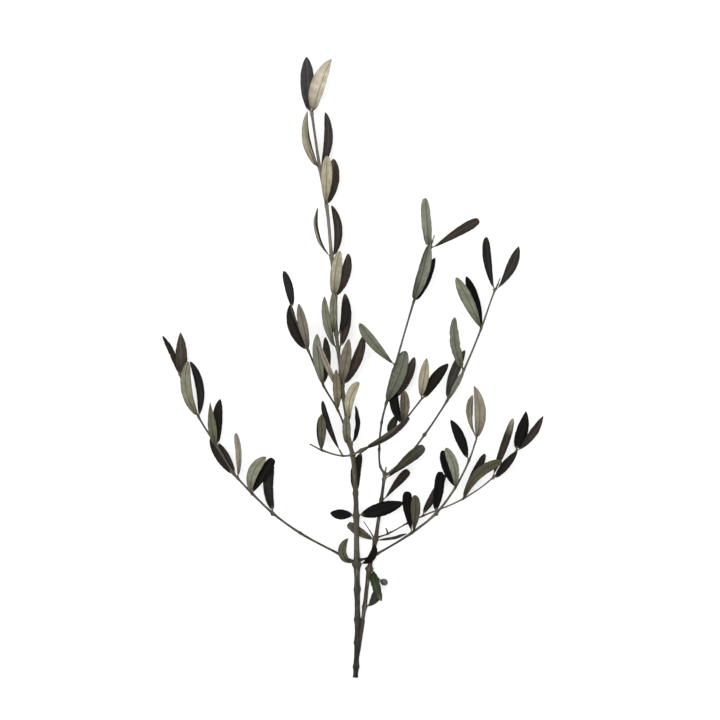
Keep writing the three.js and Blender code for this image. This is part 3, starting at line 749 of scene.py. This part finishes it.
def manner_of(name, side, shows_under, chance):
    """How one leaf is shaped and coloured."""
    shown = SHADES[SHOWN_TONES[name].split()[0 if side == "left" else -1]]
    manner = dict(
        roll=(chance.uniform(0.5, 1.2), chance.uniform(0.5, 1.2)),
        fold=chance.uniform(0.0, 0.25), twist=chance.uniform(-20, 20),
        wedge=chance.uniform(0.68, 0.92), blunt=chance.uniform(0.52, 0.76),
        tip_curl=chance.uniform(-0.15, 0.3), ripple=chance.uniform(0.02, 0.08),
        lopsided=chance.uniform(-0.14, 0.14), ragged=0.035, stalk=0.1, crease=1.7, broad=1.0,
        upper=SHADES[HIDDEN_UPPER] if shows_under else shown,
        under=shown if shows_under else SHADES[HIDDEN_UNDER],
    )
    manner.update(MANNERS.get(name, {}))
    manner.update(MANNERS.get(name + " " + side, {}))
    return manner


def varied(tone, chance, amount):
    """A colour a little lighter or darker, and a little warmer or cooler."""
    light = chance.uniform(-amount, amount)
    warm = chance.uniform(-amount, amount) * 0.5
    return np.clip(np.array(tone) + light + np.array([warm, 0, -warm]), 4, 250)


def leaf_outline(share, wedge, blunt):
    """A blade's width along its length, as a share of its greatest."""
    peak = wedge / (wedge + blunt)
    outline = share**wedge * (1 - share) ** blunt / (peak**wedge * (1 - peak) ** blunt)
    return np.maximum(outline, 0.02)


def blade_sections(share, half_width, stalk, manner, chance):
    """A blade's section at each row, aside and up of its middle, and how far out its margins are."""
    outline = leaf_outline(share, manner["wedge"], manner["blunt"])
    aside, lift, blade_half, lean, face = np.zeros((5, len(share), len(SPREAD)))
    for sign, roll in zip((-1, 1), manner["roll"]):
        ours = SPREAD * sign >= 0
        across = np.abs(SPREAD[ours])
        swing = np.sin(2 * math.pi * (share * chance.uniform(0.5, 1.4) + chance.uniform(0, 1)))
        swing = 1 + 0.3 / max(roll, 1) ** 1.5 * swing
        curls = [curl_profile(roll * each, manner["crease"], manner["fold"], across) for each in swing]
        x, z, lean_here, face[:, ours] = np.array(curls).swapaxes(0, 1)
        lean[:, ours] = sign * lean_here
        wave = np.sin(2 * math.pi * (share * chance.uniform(1.5, 3.5) + chance.uniform(0, 1)))
        tear = sum(np.sin(share * rate + chance.uniform(0, 6)) for rate in (17, 31, 53)) / 3
        ours_only = leaf_outline(share, manner["wedge"] * chance.uniform(0.88, 1.14),
                                 manner["blunt"] * chance.uniform(0.88, 1.14))
        uneven = 1 + sign * manner["lopsided"] + manner["ragged"] * tear
        half = half_width * ours_only * uneven + stalk * 0.6
        aside[:, ours] = sign * half[:, None] * x
        lift[:, ours] = half[:, None] * z + (half_width * manner["ripple"] * wave * outline)[:, None] * x**2
        blade_half[:, ours] = half[:, None]
    thin_out = np.clip(outline * 2.5, 0.25, 1)[:, None]
    thick = BLADE_THICKNESS / 2 * (1 - SPREAD**4) ** 0.5 * thin_out
    groove = GROOVE_DEPTH * np.exp(-(aside / GROOVE_WIDTH) ** 2) * (1 - 0.6 * share)[:, None]
    ridge = RIDGE_HEIGHT * np.exp(-(aside / RIDGE_WIDTH) ** 2) * ((1 - share) ** 0.7)[:, None] * thin_out
    top = np.stack([aside + thick * lean, lift + thick * face - groove], -1)
    low = np.stack([aside - thick * lean, lift - thick * face - ridge], -1)[:, -2:0:-1]
    return np.concatenate([top, low], 1), blade_half


def leaf_tints(share, manner, chance):
    """The colours of a leaf's two sides, from its petiole to its tip, with painted shade at the foot of each
    blade.
    """
    tints = {}
    for mark, side in (("tint", "upper"), ("under_tint", "under")):
        shade = varied(manner[side], chance, 6)
        # By default a side darkens to 0.78 of its colour at the foot of the blade: painted shade. Some
        # manners give the foot colour instead.
        foot = manner.get(side + "_foot", np.array(shade) * 0.78)
        end = manner.get(side + "_end", varied(shade, chance, 6))
        stops = [(0, PETIOLE_TONE), (0.03, PETIOLE_TONE), (0.1, foot), (0.42, shade), (0.7, shade), (1, end)]
        tints[mark] = along_tones(stops, share)[:, None]
    return tints


def add_leaf(piece, stations, upper_at, half_width, manner, chance):
    """A leaf from inside its stem, along its petiole, to the tip of its blade."""
    knots = distances(stations)
    half_width *= manner["broad"]
    blade_from = knots[1] + (knots[2] - knots[1]) * manner["stalk"]
    rows = np.linspace(0, 1, BLADE_ROWS)
    rows = (1 - EVEN_ROWS) * (1 - np.cos(math.pi * rows)) / 2 + EVEN_ROWS * rows
    at = np.concatenate([np.linspace(0, blade_from, PETIOLE_ROWS, endpoint=False),
                         blade_from + rows * (knots[-1] - blade_from)])
    middle = smooth(knots, stations, at)
    share = np.clip((at - blade_from) / (knots[-1] - blade_from), 0, 1)
    flared = 1 + PETIOLE_FLARE * np.exp(-(np.maximum(at - knots[1], 0) / FLARE_LENGTH) ** 2)
    stalk = PETIOLE_RADIUS * flared * (1 - 0.75 * share)

    ahead = unit(np.gradient(middle, axis=0))
    upper = smooth(knots, upper_at, at)
    upper = unit(upper - ahead * (upper * ahead).sum(1, keepdims=True))
    right = np.cross(ahead, upper)
    turn = np.radians(manner["twist"]) * (share - 0.35)
    upper, right = (upper * np.cos(turn)[:, None] + right * np.sin(turn)[:, None],
                    right * np.cos(turn)[:, None] - upper * np.sin(turn)[:, None])
    curled = manner["tip_curl"] * half_width * np.clip(share - 0.75, 0, 1) ** 2 * 8
    middle = middle - upper * curled[:, None]

    blade, blade_half = blade_sections(share, half_width, stalk, manner, chance)
    sides = blade.shape[1]
    angle = math.pi - 2 * math.pi * np.arange(sides) / sides
    round_one = stalk[:, None, None] * np.stack([np.cos(angle), 0.85 * np.sin(angle)], -1)
    grown = np.clip(share / ROUND_SHARE, 0, 1)
    grown = (grown**2 * (3 - 2 * grown))[:, None, None]
    section = round_one * (1 - grown) + blade * grown
    rings = lifted(middle[:, None] + section[..., :1] * right[:, None] + section[..., 1:] * upper[:, None])

    spread = np.concatenate([SPREAD, SPREAD[-2:0:-1]])
    half_round = np.concatenate([blade_half, blade_half[:, -2:0:-1]], 1)
    spot = np.stack([spread * half_round, np.broadcast_to((at - blade_from)[:, None], half_round.shape),
                     np.broadcast_to(np.abs(spread), half_round.shape)], -1)
    finishes = [0] * (sides // 2) + [1] * (sides // 2)
    piece.skin(rings, finishes, place=spot, **leaf_tints(share, manner, chance))


def add_bud(piece, root, towards, chance):
    """A small pointed bud."""
    share = np.linspace(0, 1, 9)
    middle = root + np.outer(share, towards) * BUD_LENGTH
    radius = BUD_WIDTH / 2 * np.sqrt(np.clip(np.sin(math.pi * (0.12 + 0.86 * share) ** 0.8), 0.01, 1))
    tints = np.repeat(colour(*varied(BUD_TONE, chance, 6))[None], len(share), 0)
    add_tube(piece, middle, radius, tints, chance, sides=10, knobbly=0.04)


def add_stub(piece, root, reach, width, chance):
    """A dry side twig or a bare leaf stalk, a little crooked."""
    share = np.linspace(0, 1, 14)
    length = np.linalg.norm(reach)
    sideways = unit(np.cross(reach, UP)) * chance.uniform(-0.09, 0.09) * length
    middle = root + np.outer(share, reach) + np.outer(np.sin(math.pi * share), sideways)
    radius = width / 2 * (1.3 - 0.5 * share) * np.sqrt(np.clip((1 - share) * length / 0.5, 0.03, 1))
    tints = np.repeat(colour(*varied(STUB_TONE, chance, 5))[None], len(share), 0)
    add_tube(piece, middle, radius, tints, chance, sides=10, knobbly=0.08)


def build_leaves(name):
    piece = Piece(name + "_skin", name)
    blades = blades_of(name)
    for side, blade in zip(("left", "right"), blades):
        chance = random.Random(f"{name} {side}")
        stem = nearest_stem(blade.middle[0])
        _, _, axis = stem.nearest(blade.middle[0])
        outward = unit(blade.middle[0] - axis)
        stem.lumps.append((blade.middle[0], CUSHION_HEIGHT, CUSHION_LENGTH))
        girth = stem.radius_near(axis)
        foot = axis + outward * girth * 0.95 + (blade.middle[1] - blade.middle[0]) * 0.12
        stations = np.vstack([axis + outward * girth * 0.3, foot, blade.middle[1:]])
        upper_at = np.vstack([blade.upper[:1], blade.upper])
        manner = manner_of(name, side, blade.shows_under, chance)
        add_leaf(piece, stations, upper_at, blade.half_width, manner, chance)
        if chance.random() < BUD_CHANCE:
            onward = unit(blade.middle[1] - blade.middle[0])
            root = axis + outward * girth * 0.85 + onward * 1.2
            add_bud(stem_buds[stem.name], root, unit(onward + 0.5 * outward), chance)
    return piece


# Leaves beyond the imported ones: their stem and the ring they leave it at, the reach to their tip,
# width, sideways bow, and whether their under side shows.
SPARE_LEAVES = {
    "pale_edge_on_leaf": ("main_stem", 33, (-30, 65, 19.5), 5.6, -1.5, True),
    "dark_edge_on_leaf": ("middle_shoots", 6, (-22, 61, 10), 6.4, -3, False),
    "short_olive_leaf": ("middle_shoots", 18, (10, 22, -8), 9.0, 0.5, False),
}
LEAF_STATIONS = np.array([0, 0.1, 0.22, 0.44, 0.73, 0.92, 1])


def build_spare_leaf(name):
    stem_name, ring, reach, width, bow, shows_under = SPARE_LEAVES[name]
    chance = random.Random(name)
    stem, reach = stems[stem_name], np.array(reach)
    onward = unit(stem.middle[ring + 1] - stem.middle[ring - 1])
    outward = unit(reach - onward * reach.dot(onward))
    foot = stem.middle[ring] + outward * stem.radius[ring] * 0.6
    sideways = unit(np.cross(reach, UP))
    bowed = np.outer(4 * LEAF_STATIONS * (1 - LEAF_STATIONS), sideways * bow)
    stations = foot + np.outer(LEAF_STATIONS, reach - outward * stem.radius[ring]) + bowed
    above = unit(np.cross(sideways, reach))
    upper_at = np.repeat([-above if shows_under else above], len(stations), 0)
    manner = manner_of(name, "left", shows_under, chance)
    piece = Piece(name)
    add_leaf(piece, stations, upper_at, width / 2, manner, chance)
    return piece


# Knobs: stem, ring, the way they face, height and length.
KNOBS = [
    ("second_stem", 9, (-1, 0.1, 0.3), 1.8, 1.9), ("second_stem", 9, (1, 0.1, 0.3), 1.9, 1.9),
    ("second_stem", 21, (1, -0.2, 0), 0.9, 1.8), ("main_stem", 15, (-1, 0, 0.4), 1.2, 3.0),
    ("main_stem", 15, (1, 0, 0.4), 1.2, 3.0), ("main_stem", 18, (0, 0, 1), 0.8, 2.0),
    ("left_branch", 9, (0.3, -1, 0), 1.6, 1.8), ("right_branch", 12, (0.3, -1, 0), 1.3, 1.8),
    ("long_right_branch", 6, (-1, 1, 0), 0.9, 1.8), ("long_right_branch", 6, (1, -1, 0), 0.7, 1.8),
    ("thin_twig", 4, (-0.4, 1, 0), 0.7, 1.0), ("thin_twig", 5, (-0.4, 1, 0), 0.6, 0.8),
    ("thin_twig", 18, (0.5, -1, 0), 1.3, 1.5), ("thin_twig", 15, (0.4, -1, 0), 0.8, 1.4),
    ("main_stem", 27, (0.7, 0, 0.7), 1.2, 2.6), ("middle_shoots", 13, (-0.4, 1, 0.3), 1.0, 4.0),
    ("middle_shoots", 13, (0.4, -1, 0.3), 1.1, 4.5),
]
# Dry side twigs and bare leaf stalks: stem, ring, reach and width.
STUBS = [
    ("second_stem", 21, (2.0, 8.5, 1.5), 1.5), ("thin_twig", 3, (-2.5, 6.5, 1.0), 1.7),
    ("second_stem", 12, (-13.6, 22.0, 4.0), 1.2), ("middle_shoots", 22, (-1.6, 3.4, 0.8), 1.2),
    ("long_right_branch", 18, (-2.8, 1.6, 0.4), 1.1), ("left_branch", 18, (-1.8, 2.6, 0.6), 0.9),
    ("main_stem", 48, (-2.2, 2.4, 0.8), 1.0),
]
STUB_TONE = (44, 40, 33)


def mark_nodes():
    """Gives every node its two leaf scars, and the stems their knobs and stubs."""
    for stem in stems.values():
        chance = random.Random(stem.name + " scars")
        for knot in range(RINGS_A_NODE, len(stem.middle) - 1, RINGS_A_NODE):
            across = unit(np.cross(stem.middle[knot + 1] - stem.middle[knot - 1], UP))
            for sign in (-1, 1):
                spot = stem.middle[knot] + sign * across * stem.radius[knot]
                stem.lumps.append((spot, chance.uniform(0.2, 0.5), 1.1 + 0.4 * stem.radius[knot]))
    for name, ring, facing, height, length in KNOBS:
        stem = stems[name]
        stem.lumps.append((stem.middle[ring] + unit(np.array(facing)) * stem.radius[ring], height, length))
    for name, ring, reach, width in STUBS:
        chance = random.Random(f"{name} {ring}")
        add_stub(stem_buds[name], stems[name].middle[ring], np.array(reach), width, chance)


OLIVE_LENGTH, OLIVE_WIDTH = 8.6, 7.6
OLIVE_ROWS, OLIVE_SIDES = 44, 48
DIMPLE_DEPTH, DIMPLE_REACH = 0.35, 0.3      # where its stalk joins it; the reaches are angles
POINT_HEIGHT, POINT_REACH = 0.3, 0.14
CALYX = [(-4.8, 0.6), (-4.55, 0.95), (-4.25, 1.5), (-3.95, 1.8), (-3.85, 1.5)]


def build_olive():
    """The fruit, with its dimple and calyx at the stalk and a small point at the far end."""
    chance = random.Random("olive")
    low, high = (np.array(corner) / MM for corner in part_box("olive"))
    centre = (low + high) / 2
    axis = unit(centre - stems["olive_stalk"].middle[-1])
    across = unit(np.cross(axis, UP))
    above = np.cross(across, axis)
    angle = np.linspace(0, 2 * math.pi, OLIVE_SIDES, endpoint=False)
    around = np.outer(np.cos(angle), across) + np.outer(np.sin(angle), above)

    def turned(along, radius):
        return centre + along[:, None, None] * axis + radius[..., None] * around

    turn = np.linspace(0.03, math.pi - 0.03, OLIVE_ROWS)
    along = -np.cos(turn) * OLIVE_LENGTH / 2
    dimple = DIMPLE_DEPTH * np.exp(-(turn / DIMPLE_REACH) ** 2)
    along += dimple + POINT_HEIGHT * np.exp(-((math.pi - turn) / POINT_REACH) ** 2)
    uneven = 1 + 0.012 * np.sin(2 * angle + chance.uniform(0, 6))
    uneven += 0.01 * np.sin(3 * angle + chance.uniform(0, 6))
    piece = Piece("olive_fruit", "olive")
    piece.skin(turned(along, np.outer(np.sin(turn) * OLIVE_WIDTH / 2, uneven)), [0] * OLIVE_SIDES)
    lobes = 1 + 0.16 * np.cos(4 * angle)
    along, radius = np.array(CALYX).T
    rings = turned(along, np.outer(radius, lobes))
    piece.skin(rings, [1] * OLIVE_SIDES, place=rings, tint=colour(*STUB_TONE))
    return piece


# The buds in the leaves' axils belong to the stem that they grow on.
stem_buds = {name: Piece(name + "_buds") for name in stems}
mark_nodes()
leaf_names = [name for name in frame["nodes"] if "_leaf_" in name or "_leaves_" in name]
for name in leaf_names:
    build_leaves(name).make([leaf_upper, leaf_under], slot_of[name])
for name in SPARE_LEAVES:
    build_spare_leaf(name).make([leaf_upper, leaf_under], "leaf_charcoal")
build_olive().make([olive_skin, bark], slot_of["olive"])

for name, stem in stems.items():
    build_stem(stem).make([bark, cut_wood], slot_of[name])
    if stem_buds[name].points:
        stem_buds[name].make([bark], slot_of[name])
